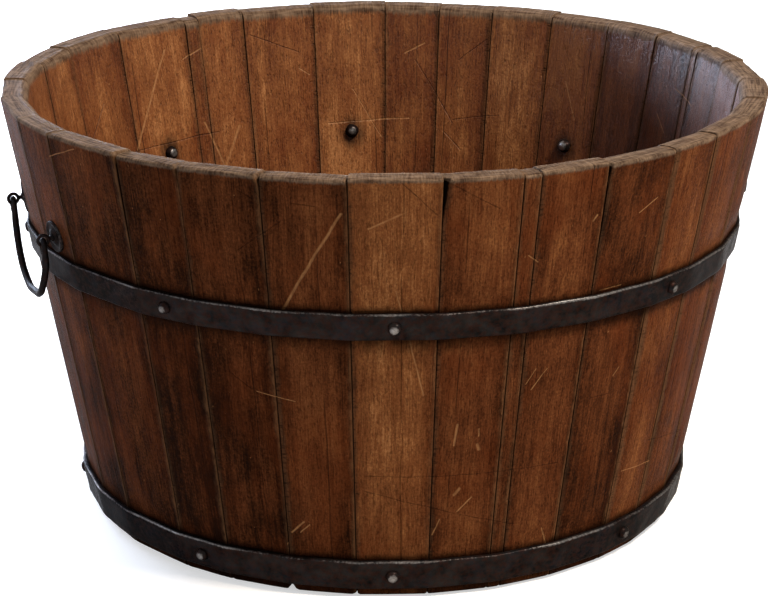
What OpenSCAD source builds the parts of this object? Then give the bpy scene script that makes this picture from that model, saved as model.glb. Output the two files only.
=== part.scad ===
// Staved wooden wash tub with two riveted iron hoops and a drop bail on each side.
// The origin is the middle of the foot, on the floor. +Z is up and the bails are on the X axis.

/* [Tub] */
// Diameter over the corners of the staves at the rim
rim_d = 600; // [480:5:760]
// Diameter over the corners of the staves at the floor
foot_d = 475; // [380:5:600]
// Height of the tallest stave
tub_h = 338; // [270:1:420]
// Thickness of a stave
stave_t = 19; // [16:0.5:24]
// Gap left in each joint between two staves
joint_gap = 0.2; // [0.1:0.05:0.5]
// Rounding of the outer and inner edge of the rim
rim_round = 5; // [3:0.5:7]
// Bevel planed along the four long edges of a stave
edge_ease = 1.5; // [0.5:0.25:2]
// Bevel round the outside of the foot
foot_ease = 2; // [1:0.5:4]

/* [Bottom] */
// Height of the underside of the bottom above the floor
head_z = 30; // [29:1:60]
// Thickness of the bottom boards
head_t = 16; // [12:1:24]
// Depth of the groove for the bottom, at the joints of the staves
croze_depth = 4.5; // [3:0.5:7]
// Thickness of the tongue round the edge of the bottom
tongue_t = 6; // [4:0.5:8]
// Width of the tongue, from its shoulder to the edge
tongue_w = 8; // [7:0.5:12]
// Clearance of the tongue in its groove, on every side
croze_fit = 0.2; // [0.1:0.05:0.4]
// Diameter of the dowels between the bottom boards
dowel_d = 10; // [6:1:10]
// Length of a dowel
dowel_l = 50; // [30:2:56]
// Distance between the two dowels of a joint
dowel_spread = 220; // [120:10:240]
// Clearance round a dowel and at its ends
dowel_fit = 0.15; // [0.1:0.05:0.3]

/* [Hoops] */
// Height of the lower edge of the upper hoop
mid_hoop_z = 214.5; // [180:0.5:255]
// Width of the upper hoop
mid_hoop_w = 20.5; // [16:0.5:24]
// Height of the lower edge of the lower hoop
low_hoop_z = 7.5; // [5:0.5:9]
// Width of the lower hoop
low_hoop_w = 23.5; // [18:0.5:26]
// Thickness of the hoop iron
hoop_t = 3; // [2:0.25:4]
// Gap between a hoop and the flat of a stave
hoop_gap = 0.1; // [0.05:0.05:0.3]
// Length over which the two ends of a hoop overlap
lap_l = 44; // [36:1:48]

/* [Rivets] */
// Diameter of a rivet's shank
rivet_d = 5; // [4:0.5:6]
// Diameter of the head outside
rivet_head_d = 10; // [8:0.5:12]
// Height of the head outside
rivet_head_h = 4.2; // [2.5:0.1:4.8]
// Diameter of the head inside the tub
rivet_tail_d = 12; // [9:0.5:13]
// Height of the head inside the tub
rivet_tail_h = 5.2; // [3:0.1:6]
// Clearance between a shank and its hole
shank_fit = 0.2; // [0.1:0.05:0.3]

/* [Handles] */
// Distance between the two eyes of a bail
bail_span = 120; // [110:1:144]
// How far an eye's middle stands off the corners of the staves
eye_out = 10; // [9.5:0.25:12]
// How much wider the hole of an eye is than the hook in it
eye_play = 1; // [0.6:0.1:2]
// Thickness of the iron round the hole
eye_bar_d = 2.6; // [2.2:0.1:3.2]
// Diameter of the spike that holds an eye in its stave
spike_d = 4; // [3:0.25:5]
// Depth of the spike in the stave
spike_l = 15; // [10:0.5:16]
// Diameter of the rosette behind an eye
rosette_d = 25; // [18:0.5:26]
// Thickness of the rosette at its middle
rosette_t = 3.6; // [2.5:0.1:4]
// Thickness of the rosette at its rim
rosette_rim_t = 2; // [1:0.1:2.4]
// Gap between a rosette and the upper hoop below it
rosette_gap = 0.5; // [0.3:0.1:20]
// How far a bail hangs below its line of swing
bail_drop = 54; // [48:1:64]
// Diameter of a bail's bar
bail_bar_d = 5.6; // [4.5:0.1:6]
// Diameter of the hooks that pass through the eyes
hook_d = 4.2; // [3.8:0.1:4.4]
// Room between the inside of a hook's bend and the iron of the eye
hook_room = 1; // [0.6:0.1:2]
// Bend radius at the two shoulders of a bail
shoulder_bend = 26; // [16:1:30]

/* [Hidden] */
$fn = 64;

// Each stave as its width at the rim and how far its top is below the tallest, in mm.
// The first stave lies on the -X axis, and the others follow it anticlockwise, seen from above.
STAVES = [
    [70, 0.8], [56, 0.2], [79, 0], [55, 1.8], [63, 0.9], [62, 1.4], [66, 0.4], [58, 1.2], [13, 1.9],
    [54, 0.6], [63, 1.6], [51, 0.8], [61, 0], [62, 0.9], [68, 0.3], [66, 1.2], [50, 0.5], [9, 1.6],
    [56, 0.9], [61, 0.1], [63, 1.1], [61, 0.5], [52, 1.2], [52, 0.8], [69, 0], [70, 1.3], [47, 0.3],
    [15, 2.4], [80, 0.9], [76, 0.2], [57, 1.3], [60, 0.4], [60, 1.5]
];
// Staves that a rivet of each hoop goes through, counted from 1
RIVETED = [4, 7, 12, 16, 21, 25, 29, 33];
// Staves at the back that the lap of each hoop lies on
MID_LAP = 30;
LOW_LAP = 26;
// Widths of the bottom boards in proportion, from -Y to +Y
BOARDS = [94, 88, 96, 90, 91];
// Names of the eyes, each with the side of the X axis and of the Y axis that it is on
EYES = [["left_front", -1, -1], ["left_rear", -1, 1], ["right_front", 1, -1], ["right_rear", 1, 1]];

WOOD = ["#6b3d1f", "#7a4a26", "#5e331a", "#84532c", "#6f4322"];
IRON = "#2b2827";

foot_r = foot_d / 2;
slope = (rim_d / 2 - foot_r) / tub_h;
far = rim_d;

function total(list, n) = n == 0 ? 0 : list[n - 1] + total(list, n - 1);
WIDTHS = [for (s = STAVES) s[0]];
round_sum = total(WIDTHS, len(WIDTHS));

// Half the angle that stave i takes, and the bearing of its middle
function half_angle(i) = 180 * WIDTHS[i - 1] / round_sum;
function bearing(i) = 180 + 360 * total(WIDTHS, i - 1) / round_sum + half_angle(i) - half_angle(1);
// Stave that lies at a bearing
function wrapped(a) = (a - 180 + half_angle(1) + 720) % 360 / 360 * round_sum;
function stave_at(a) = [for (i = [1:len(WIDTHS)]) if (wrapped(a) < total(WIDTHS, i)) i][0];

// Radius over the corners at a height, and lean of the flat face of stave i
function corner_r(z) = foot_r + slope * z;
function lean(i) = atan(slope * cos(half_angle(i)));

// Turns a point of the tub into the frame of stave i's outer face: out, along and up the face
function on_face(i, p) =
    let (
        a = bearing(i),
        out = p[0] * cos(a) + p[1] * sin(a) - foot_r * cos(half_angle(i)),
        side = p[1] * cos(a) - p[0] * sin(a)
    )
    [out * cos(lean(i)) - p[2] * sin(lean(i)), side, out * sin(lean(i)) + p[2] * cos(lean(i))];

// Puts its children in the frame of stave i's outer face, with +X out of the face and +Z up it
module at_face(i) {
    rotate([0, 0, bearing(i)])
        translate([foot_r * cos(half_angle(i)), 0, 0])
            rotate([0, lean(i), 0])
                children();
}

// Radius of the groove's floor, and height of the groove
croze_r = corner_r(head_z) - stave_t / cos(lean(1)) + croze_depth;
tongue_z = head_z + (head_t - tongue_t) / 2;
head_r = croze_r - croze_fit;

// Places of the bails: the line of swing is eye_z above the floor and hinge_x from the Z axis
eye_z = mid_hoop_z + mid_hoop_w + rosette_gap + rosette_d / 2;
eye_angle = asin(bail_span / 2 / (corner_r(eye_z) + eye_out));
hinge_x = (corner_r(eye_z) + eye_out) * cos(eye_angle);
eye_hole_d = hook_d + eye_play;
ring_bend = (eye_hole_d + eye_bar_d) / 2;
hook_bend = (hook_d + eye_bar_d) / 2 + hook_room;
function eye_point(eye) = [eye[1] * hinge_x, eye[2] * bail_span / 2, eye_z];
function eye_stave(eye) = stave_at(atan2(eye_point(eye)[1], eye_point(eye)[0]));

// Section through a stave in its own radial plane, with rounded rim edges and a bevelled foot
module stave_section(i, top) {
    t = lean(i);
    level = top - rim_round;
    function face_x(z) = corner_r(z) * cos(half_angle(i));
    back = stave_t / cos(t);
    outer = [face_x(level) - rim_round / cos(t), level];
    inner = [face_x(level) - back + rim_round / cos(t), level];
    normal = rim_round * [cos(t), -sin(t)];
    polygon([
        [face_x(0) - foot_ease, 0],
        [face_x(foot_ease), foot_ease],
        outer + normal,
        outer + [0, rim_round],
        inner + [0, rim_round],
        inner - normal,
        [face_x(0) - back, 0]
    ]);
    translate(outer) circle(rim_round);
    translate(inner) circle(rim_round);
}

// Room between the two radial joints of stave i, less its share of the joint gaps
module stave_wedge(i) {
    h = half_angle(i);
    start = joint_gap / 2 / sin(h);
    linear_extrude(tub_h + 1)
        polygon([[start, 0], [start + far * cos(h), -far * sin(h)], [start + far * cos(h), far * sin(h)]]);
}

// Square bar along a long edge of stave i, set on its corner, that planes the edge off
module edge_cut(i, side, back) {
    rotate([0, 0, side * half_angle(i)])
        translate([foot_r - back, 0, 0])
            rotate([0, atan(slope), 0])
                rotate([0, 0, 45])
                    cube([edge_ease * sqrt(2), edge_ease * sqrt(2), 3 * tub_h], center = true);
}

// Round hole through a stave or hoop, square to the face, from one depth to another
module face_hole(i, side, height, d, from, to) {
    at_face(i)
        translate([from, side, height])
            rotate([0, 90, 0])
                cylinder(d = d, h = to - from);
}

module stave(i) {
    top = tub_h - STAVES[i - 1][1];
    back = stave_t / cos(lean(i)) / cos(half_angle(i));
    color(WOOD[i % len(WOOD)])
    difference() {
        rotate([0, 0, bearing(i)])
            difference() {
                intersection() {
                    rotate([90, 0, 0])
                        linear_extrude(WIDTHS[i - 1] * 2, center = true)
                            stave_section(i, top);
                    stave_wedge(i);
                }
                for (side = [-1, 1]) {
                    edge_cut(i, side, 0);
                    edge_cut(i, side, back);
                }
            }
        translate([0, 0, tongue_z - croze_fit])
            cylinder(r = croze_r, h = tongue_t + 2 * croze_fit);
        for (r = RIVETED)
            if (r == i)
                for (z = [mid_hoop_z + mid_hoop_w / 2, low_hoop_z + low_hoop_w / 2])
                    face_hole(i, 0, z / cos(lean(i)), rivet_d + 2 * shank_fit, -stave_t - 1, 1);
        for (eye = EYES)
            if (eye_stave(eye) == i)
                let (p = on_face(i, eye_point(eye)))
                    face_hole(i, p[1], p[2], spike_d + 2 * shank_fit, -spike_l - 2 * shank_fit, 1);
    }
}

// The whole bottom before it is cut into boards: a disc with a tongue round its edge
module bottom_disc() {
    step = (head_t - tongue_t) / 2;
    inner = head_r - tongue_w;
    rotate_extrude($fn = 180)
        polygon([
            [0, head_z],
            [inner - step, head_z],
            [inner, tongue_z],
            [head_r, tongue_z],
            [head_r, tongue_z + tongue_t],
            [inner, tongue_z + tongue_t],
            [inner - step, head_z + head_t],
            [0, head_z + head_t]
        ]);
}

// Place in Y of the joint after board n
function board_y(n) = head_r * (2 * total(BOARDS, n) / total(BOARDS, len(BOARDS)) - 1);

module dowel_at(n, d, l) {
    for (x = [-dowel_spread / 2, dowel_spread / 2])
        translate([x, board_y(n), head_z + head_t / 2])
            rotate([90, 0, 0])
                cylinder(d = d, h = l, center = true);
}

module bottom_board(n) {
    low = board_y(n - 1) + (n > 1 ? joint_gap / 2 : -1);
    high = board_y(n) - (n < len(BOARDS) ? joint_gap / 2 : -1);
    color(WOOD[(n + 2) % len(WOOD)])
    difference() {
        intersection() {
            bottom_disc();
            translate([-far, low, 0])
                cube([2 * far, high - low, far]);
        }
        if (n > 1)
            dowel_at(n - 1, dowel_d + 2 * dowel_fit, dowel_l + 2 * dowel_fit);
        if (n < len(BOARDS))
            dowel_at(n, dowel_d + 2 * dowel_fit, dowel_l + 2 * dowel_fit);
    }
}

module bottom_dowels() {
    color("#9a7246")
    for (n = [1:len(BOARDS) - 1])
        dowel_at(n, dowel_d, dowel_l);
}

// Solid with one flat face for each stave, a distance out from the faces of the staves
module faced_cone(out) {
    intersection_for(i = [1:len(STAVES)])
        at_face(i)
            translate([out - 2 * far, -far, -far])
                cube([2 * far, 2 * far, 3 * far]);
}

// Strap bent flat to every stave, with its ends lapped on one of them
module hoop(z, w, lap) {
    color(IRON)
    difference() {
        intersection() {
            union() {
                difference() {
                    faced_cone(hoop_gap + hoop_t);
                    faced_cone(hoop_gap);
                }
                at_face(lap)
                    linear_extrude(3 * tub_h, center = true)
                        polygon([
                            [hoop_gap + hoop_t / 2, -lap_l / 2],
                            [hoop_gap + 2 * hoop_t, -lap_l / 2],
                            [hoop_gap + 2 * hoop_t, lap_l / 2 - 2 * hoop_t],
                            [hoop_gap + hoop_t / 2, lap_l / 2]
                        ]);
            }
            translate([-far, -far, z])
                cube([2 * far, 2 * far, w]);
        }
        for (i = RIVETED)
            face_hole(i, 0, (z + w / 2) / cos(lean(i)), rivet_d + 2 * shank_fit, -1, hoop_t + 1);
        for (side = [-lap_l / 4, lap_l / 4])
            face_hole(lap, side, (z + w / 2) / cos(lean(lap)), rivet_d + 2 * shank_fit, -1, 2 * hoop_t + 1);
    }
}

// Domed head that stands on the plane z = 0
module dome(d, h) {
    ball = (d * d / 4 + h * h) / (2 * h);
    rotate_extrude()
        intersection() {
            translate([0, h - ball]) circle(ball);
            square([d / 2, h]);
        }
}

// Rivet through a stave, with its heads seated on the hoop and on the inside of the stave
module hoop_rivets(z) {
    color(IRON)
    for (i = RIVETED)
        at_face(i)
            translate([0, 0, z / cos(lean(i))])
                rotate([0, 90, 0]) {
                    translate([0, 0, -stave_t])
                        cylinder(d = rivet_d, h = stave_t + hoop_gap + hoop_t);
                    translate([0, 0, hoop_gap + hoop_t])
                        dome(rivet_head_d, rivet_head_h);
                    translate([0, 0, -stave_t])
                        rotate([180, 0, 0])
                            dome(rivet_tail_d, rivet_tail_h);
                }
}

// Short rivets that join the two ends of each hoop, flush on the inside
module lap_rivets() {
    color(IRON)
    for (place = [[MID_LAP, mid_hoop_z + mid_hoop_w / 2], [LOW_LAP, low_hoop_z + low_hoop_w / 2]])
        for (side = [-lap_l / 4, lap_l / 4])
            at_face(place[0])
                translate([hoop_gap, side, place[1] / cos(lean(place[0]))])
                    rotate([0, 90, 0]) {
                        cylinder(d = rivet_d, h = 2 * hoop_t);
                        translate([0, 0, 2 * hoop_t])
                            dome(rivet_head_d, rivet_head_h);
                    }
}

// Turned plate with an eased rim and a flat boss for the eye to bear on
module rosette(eye) {
    i = eye_stave(eye);
    p = on_face(i, eye_point(eye));
    r = rosette_d / 2;
    color(IRON)
    at_face(i)
        translate([0, p[1], p[2]])
            rotate([0, 90, 0])
                difference() {
                    rotate_extrude()
                        polygon([
                            [0, 0],
                            [r, 0],
                            [r, rosette_rim_t * 0.65],
                            [r - rosette_rim_t * 0.35, rosette_rim_t],
                            [r * 0.72, rosette_rim_t],
                            [r * 0.48, (rosette_t + rosette_rim_t) / 2],
                            [r * 0.38, rosette_t],
                            [0, rosette_t]
                        ]);
                    translate([0, 0, -1])
                        cylinder(d = spike_d + 2 * shank_fit, h = rosette_t + 2);
                }
}

// Forged eye: a ring on the line of swing, a neck, a collar on the rosette and a spike in the stave
module eye_spike(eye) {
    i = eye_stave(eye);
    p = on_face(i, eye_point(eye));
    reach = p[0] - ring_bend;
    collar = 1.2;
    point = spike_d;
    color(IRON)
    union() {
        translate(eye_point(eye))
            rotate([90, 0, 0])
                rotate_extrude()
                    translate([ring_bend, 0])
                        circle(d = eye_bar_d);
        at_face(i)
            translate([0, p[1], p[2]])
                rotate([0, 90, 0])
                    rotate_extrude()
                        polygon([
                            [0, -spike_l],
                            [spike_d / 2, point - spike_l],
                            [spike_d / 2, rosette_t],
                            [spike_d * 0.8, rosette_t],
                            [spike_d * 0.8, rosette_t + collar * 0.6],
                            [eye_bar_d * 0.6, rosette_t + collar],
                            [eye_bar_d * 0.6, reach],
                            [0, reach]
                        ]);
    }
}

// Part of a ring of round bar, in the plane of the bail
module bent_bar(centre, bend, d, from, to) {
    translate(centre)
        rotate([0, 0, from])
            rotate_extrude(angle = to - from)
                translate([bend, 0])
                    circle(d = d);
}

// Straight tapered piece of round bar that runs down from a point in the plane of the bail
module tapered_bar(start, d_start, d_end, l) {
    translate(start)
        rotate([90, 0, 0])
            cylinder(d1 = d_start, d2 = d_end, h = l);
}

// Bail of the +X side: three bends below, and at each end a hook through the eye with its tip turned down.
// Each piece runs a little way into the next, which is thicker by a draw of 0.1 mm.
module bail() {
    draw = 0.1;
    into = 1;
    half = bail_span / 2;
    neck = 4;
    tip = 7;
    tip_d = hook_d * 0.6;
    side_d = bail_bar_d - draw;
    leg_y = -hook_bend - neck;
    depth = bail_drop + leg_y - bail_bar_d / 2;
    run = half - shoulder_bend;
    bottom_bend = (run * run + depth * depth - shoulder_bend * shoulder_bend) / (2 * (depth - shoulder_bend));
    rise = bottom_bend - depth;
    sweep = atan2(run, rise);
    lap = into / shoulder_bend * 180 / PI;
    turn = into / 3 / hook_bend * 180 / PI;
    translate([hinge_x, 0, eye_z])
        rotate([90, 0, 90])
            union() {
                bent_bar([hook_bend, leg_y + rise], bottom_bend, bail_bar_d, -90 - sweep, -90 + sweep);
                bent_bar([hook_bend + run, leg_y], shoulder_bend, side_d, sweep - 90 - lap, 0);
                bent_bar([hook_bend - run, leg_y], shoulder_bend, side_d, 180, 270 - sweep + lap);
                for (end = [-half, half]) {
                    tapered_bar([end + hook_bend, -hook_bend], hook_d + draw, side_d - draw, neck + into);
                    tapered_bar([end - hook_bend, -hook_bend], hook_d + draw, tip_d + draw, tip);
                    translate([end - hook_bend, -hook_bend - tip])
                        sphere(d = tip_d);
                    bent_bar([end, -hook_bend], hook_bend, hook_d, -turn, 180 + turn);
                }
            }
}

module left_bail() {
    color(IRON) rotate([0, 0, 180]) bail();
}

module right_bail() {
    color(IRON) bail();
}

for (i = [1:len(STAVES)])
    stave(i);
for (i = [1:len(BOARDS)])
    bottom_board(i);
bottom_dowels();
hoop(mid_hoop_z, mid_hoop_w, MID_LAP);  // mid_hoop
hoop(low_hoop_z, low_hoop_w, LOW_LAP);  // low_hoop
hoop_rivets(mid_hoop_z + mid_hoop_w / 2);  // mid_hoop_rivets
hoop_rivets(low_hoop_z + low_hoop_w / 2);  // low_hoop_rivets
lap_rivets();
for (eye = EYES)
    rosette(eye);
for (eye = EYES)
    eye_spike(eye);
left_bail();
right_bail();
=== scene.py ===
# %% [markdown]
# # A coopered wash tub
# A cooper makes this tub from flat tapered boards, the staves. They stand side by side in a ring and two iron
# hoops press them together. This lesson loads the plain model of it, which has every piece in its place, and
# puts a finely shaped and worn piece over each plain one.

# %% Load the plain model
import math

import bmesh
import bpy
import numpy as np
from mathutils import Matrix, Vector, noise


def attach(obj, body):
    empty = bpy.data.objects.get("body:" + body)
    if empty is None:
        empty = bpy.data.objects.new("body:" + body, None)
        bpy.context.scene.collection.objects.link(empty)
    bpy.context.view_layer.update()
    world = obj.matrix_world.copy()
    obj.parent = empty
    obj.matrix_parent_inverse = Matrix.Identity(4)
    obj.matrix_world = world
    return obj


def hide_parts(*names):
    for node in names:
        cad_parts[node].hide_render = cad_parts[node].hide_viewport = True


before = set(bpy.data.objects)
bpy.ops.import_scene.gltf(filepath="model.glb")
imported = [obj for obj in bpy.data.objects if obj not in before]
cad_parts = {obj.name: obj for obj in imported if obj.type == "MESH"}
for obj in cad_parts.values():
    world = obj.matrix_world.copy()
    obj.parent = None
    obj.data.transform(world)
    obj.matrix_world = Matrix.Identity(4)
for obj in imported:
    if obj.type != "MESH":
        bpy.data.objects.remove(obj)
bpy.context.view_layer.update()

# %% [markdown]
# ## Camera
# The camera stands about 2 m off and looks 18 degrees down, so the far wall shows over the near rim. A long lens
# keeps the taper of the wall true. It could be framed by eye, but here its place was worked out from the
# ellipses of the rim and the hoops, and two small shifts put the tub in the middle of the picture.

# %% Camera
TURN, DOWN = math.radians(-18.4), math.radians(18.2825)
AIM = Vector((0, 0, 0.15))
FAR = 2.0740
lens = bpy.data.cameras.new("camera")
lens.sensor_width, lens.lens = 36, 2556.2 / 768 * 36
lens.shift_x, lens.shift_y = 0.0005, 0.0070
camera = bpy.data.objects.new("camera", lens)
level = FAR * math.cos(DOWN)
camera.location = AIM + Vector((math.sin(TURN) * level, -math.cos(TURN) * level, FAR * math.sin(DOWN)))
camera.rotation_euler = (AIM - camera.location).to_track_quat("-Z", "Y").to_euler()
bpy.context.collection.objects.link(camera)
bpy.context.scene.camera = camera
bpy.context.scene.view_settings.view_transform = "Standard"
print("camera at", [round(v, 3) for v in camera.location], "lens", round(lens.lens, 1))

# %% [markdown]
# ## Nodes and colours
# Every finish below is a tree of nodes. One helper adds a node: it takes the node's own settings and, for each
# input, a value or the node that feeds it. Colours are written as on a paint card, in sRGB hex, and one helper
# turns them into the linear values that the shader works with.


# %% Helpers for finishes
def add(tree, kind, links=None, **settings):
    node = tree.nodes.new(kind)
    for name, value in settings.items():
        setattr(node, name, value)
    for key, value in (links or {}).items():
        socket = node.inputs[key] if isinstance(key, int) else next(
            s for s in node.inputs if s.enabled and s.name == key)
        if isinstance(value, bpy.types.Node):
            value = next(s for s in value.outputs if s.enabled)
        if isinstance(value, bpy.types.NodeSocket):
            tree.links.new(value, socket)
        else:
            socket.default_value = value
    return node


def linear(code):
    parts = [int(code[i:i + 2], 16) / 255 for i in (1, 3, 5)]
    return [p / 12.92 if p <= 0.04045 else ((p + 0.055) / 1.055) ** 2.4 for p in parts] + [1]


def fresh_finish(name):
    made = bpy.data.materials.new(name)
    made.use_nodes = True
    tree = made.node_tree
    tree.nodes.clear()
    return made, tree


# %% [markdown]
# ## Floor and light
# The picture is a studio shot on white. A large soft lamp stands high at the right, in front, which makes the
# rivets throw short shadows to the lower left. A cool one stands behind the tub at the left, just over its rim:
# it gives the bluish sheen on the inside of the right wall and a thin cold line on the left. The floor is pale
# and diffuse. It is lifted to white only where the camera sees it, straight or mirrored in metal or gloss, so that
# it adds nothing to the light on the wood.

# %% Floor and light
def seen_or_mirrored(tree):
    """1 for rays from the camera and for those that metal or gloss sends back to it"""
    path = add(tree, "ShaderNodeLightPath").outputs
    mirrored = add(tree, "ShaderNodeMath", {
        0: path["Is Glossy Ray"], 1: path["Is Transmission Ray"]}, operation="MAXIMUM")
    return add(tree, "ShaderNodeMath", {0: path["Is Camera Ray"], 1: mirrored}, operation="MAXIMUM")


floor_paint, tree = fresh_finish("pale_floor_paint")
matt = add(tree, "ShaderNodeBsdfDiffuse", {"Color": linear("#dcdad7")})
lift = add(tree, "ShaderNodeEmission", {"Color": (1, 1, 1, 1), "Strength": 0.55})
both = add(tree, "ShaderNodeAddShader", {0: matt, 1: lift})
pick = add(tree, "ShaderNodeMixShader", {0: seen_or_mirrored(tree), 1: matt, 2: both})
add(tree, "ShaderNodeOutputMaterial", {"Surface": pick})

bpy.ops.mesh.primitive_plane_add(size=24, location=(0, 0, -0.0003))
floor = bpy.context.object
floor.name = "floor"
floor.data.materials.append(floor_paint)

world = bpy.data.worlds.new("studio")
bpy.context.scene.world = world
world.use_nodes = True
tree = world.node_tree
tree.nodes.clear()
room = add(tree, "ShaderNodeBackground", {"Color": linear("#eef0f4"), "Strength": 0.24})
white = add(tree, "ShaderNodeBackground", {"Color": (1, 1, 1, 1), "Strength": 1.0})
pick = add(tree, "ShaderNodeMixShader", {0: seen_or_mirrored(tree), 1: room, 2: white})
add(tree, "ShaderNodeOutputWorld", {"Surface": pick})


def soft_lamp(name, place, aim, wide, tall, watts, colour):
    light = bpy.data.lights.new(name, "AREA")
    light.shape, light.size, light.size_y, light.energy = "ELLIPSE", wide, tall, watts
    light.color = linear(colour)[:3]
    lamp = bpy.data.objects.new(name, light)
    lamp.location = place
    lamp.rotation_euler = (Vector(aim) - lamp.location).to_track_quat("-Z", "Y").to_euler()
    bpy.context.collection.objects.link(lamp)


soft_lamp("key_lamp", (1.15, -1.38, 2.75), (0, 0, 0.2), 0.8, 0.8, 150, "#fff2e2")
soft_lamp("cool_lamp", (-0.6, 2.0, 0.72), (0.2, 0, 0.3), 1.6, 0.5, 130, "#d6e4ff")
soft_lamp("side_lamp", (-2.0, 0.5, 0.9), (-0.2, 0, 0.25), 0.35, 0.35, 6, "#cfe0ff")
print("floor, room light and three lamps")

# %% [markdown]
# ## The ring of staves
# No two staves are equally wide, because a cooper uses each board at the width that it gives. The table holds
# for each stave its width at the rim, how far its top is below the tallest, how far it leans out at the rim, the
# wear of its two upper corners, all in millimetres, and then its tone from 0, dark, to 1, light, and where a
# drying split runs, in parts of its width from the middle (or None).

# %% Staves, one line each
STAVES = [  # width, drop, lean out, left wear, right wear, tone, split
    (70, 0.8, 0.3, 1.0, 1.2, 0.18, None), (56, 0.2, 0.6, 1.0, 1.2, 0.16, -0.3),
    (79, 0.0, 0.5, 1.4, 2.6, 0.14, None), (55, 1.4, -0.7, 1.0, 2.4, 0.02, 0.22),
    (63, 0.9, 0.4, 1.2, 2.6, 0.17, 0.18), (62, 1.7, 0.0, 0.9, 1.5, 0.40, 0.12),
    (66, 0.4, 0.3, 1.1, 1.2, 0.86, 0.08), (58, 1.2, -0.5, 1.2, 1.4, 0.50, -0.18),
    (13, 1.9, -0.2, 0.6, 0.5, 0.64, None), (54, 0.6, -0.3, 1.0, 1.6, 0.50, 0.25),
    (63, 1.6, 0.9, 1.4, 1.2, 0.20, None), (51, 0.8, 0.2, 1.0, 1.0, 0.58, None),
    (61, 0.0, 0.4, 0.9, 1.2, 0.43, -0.2), (62, 0.9, 0.0, 1.0, 1.0, 0.32, 0.1),
    (68, 0.3, 0.2, 1.2, 0.9, 0.14, None), (66, 1.2, -0.4, 1.0, 1.0, 0.06, -0.1),
    (50, 0.5, 0.3, 0.9, 1.1, 0.02, None), (9, 1.6, -0.3, 0.5, 0.5, 0.05, None),
    (56, 0.9, 0.2, 1.0, 1.2, -0.04, 0.3), (61, 0.1, -0.2, 1.1, 1.0, 0.13, None),
    (63, 1.1, 0.3, 0.9, 1.0, 0.46, -0.25), (61, 0.5, 0.0, 1.0, 1.1, 0.72, 0.05),
    (52, 1.2, -0.4, 1.2, 0.9, 0.48, 0.3), (52, 0.8, 0.2, 1.0, 1.0, 0.42, -0.1),
    (69, 0.0, 0.5, 1.1, 1.2, 0.70, -0.3), (70, 1.3, -0.3, 1.0, 1.0, 0.52, 0.25),
    (47, 0.3, 0.6, 1.3, 1.0, 0.60, None), (15, 2.4, -0.8, 0.5, 0.6, 0.50, None),
    (80, 0.9, 0.2, 1.0, 1.1, 0.68, 0.35), (76, 0.2, 0.5, 1.2, 1.0, 0.36, None),
    (57, 1.3, -0.3, 1.0, 0.9, 0.60, 0.2), (60, 0.4, 0.2, 1.0, 1.1, 0.58, None),
    (60, 1.5, -0.2, 0.9, 1.0, 0.48, -0.15),
]
MM = 0.001
RIM_R, FOOT_R, HEIGHT, THICK = 300.0, 237.5, 338.0, 19.0
SLOPE = (RIM_R - FOOT_R) / HEIGHT
MID_HOOP = (214.5, 20.5)  # lower edge and width
LOW_HOOP = (7.5, 23.5)
RIVETED = [4, 7, 12, 16, 21, 25, 29, 33]
widths = np.array([row[0] for row in STAVES], float)
half_angles = math.pi * widths / widths.sum()
bearings = math.pi + 2 * math.pi * (np.cumsum(widths) - widths / 2 - widths[0] / 2) / widths.sum()
print("staves from", widths.min(), "to", widths.max(), "mm wide")

# %% [markdown]
# ## Skins over rings of points
# Nearly every piece here is a bar: a stave, a hoop, a handle and a rivet all have a section that changes
# slowly along their length. Such a piece could be modelled by hand with loop cuts. In code it is easier to
# work out rings of points, in millimetres, and to skin them. Each point may carry values, such as its distance
# from an edge, which the finishes read later to put wear, and some painted highlight and shade, just where they belong.


# %% Helpers for shapes
def skin(rings, loop=False):
    rings = np.asarray(rings, float)
    rows, count = rings.shape[:2]
    here = np.arange(rows * count).reshape(rows, count)
    ends = [] if loop else [here[0, ::-1].tolist(), here[-1].tolist()]
    if loop:
        here = np.vstack([here, here[:1]])
    side = np.roll(here, -1, axis=1)
    faces = np.stack([here[:-1], side[:-1], side[1:], here[1:]], axis=-1).reshape(-1, 4).tolist()
    return rings.reshape(-1, 3), faces + ends


def piece(name, parts, finish, slot, body, nodes, **marks):
    points, faces = [], []
    for part_points, part_faces in parts:
        start = sum(len(p) for p in points)
        points.append(part_points)
        faces += [[start + v for v in face] for face in part_faces]
    mesh = bpy.data.meshes.new(name)
    mesh.from_pydata((np.vstack(points) * MM).tolist(), [], faces)
    for key, values in marks.items():
        values = np.asarray(values, float)
        vector = values.ndim > 1 and values.shape[-1] == 3
        data = mesh.attributes.new(key, "FLOAT_VECTOR" if vector else "FLOAT", "POINT").data
        data.foreach_set("vector" if vector else "value", values.ravel())
    work = bmesh.new()
    work.from_mesh(mesh)
    bmesh.ops.recalc_face_normals(work, faces=work.faces)
    work.to_mesh(mesh)
    work.free()
    mesh.shade_smooth()
    mesh.set_sharp_from_angle(angle=math.radians(50))
    mesh.materials.append(finish)
    made = bpy.data.objects.new(name, mesh)
    bpy.context.collection.objects.link(made)
    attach(made, body)
    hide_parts(*nodes)
    return made


def ripple(x, y=0.0, z=0.0):
    return noise.noise(Vector((x, y, z)))


def ease(value):
    value = min(max(value, 0.0), 1.0)
    return value * value * (3 - 2 * value)
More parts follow.
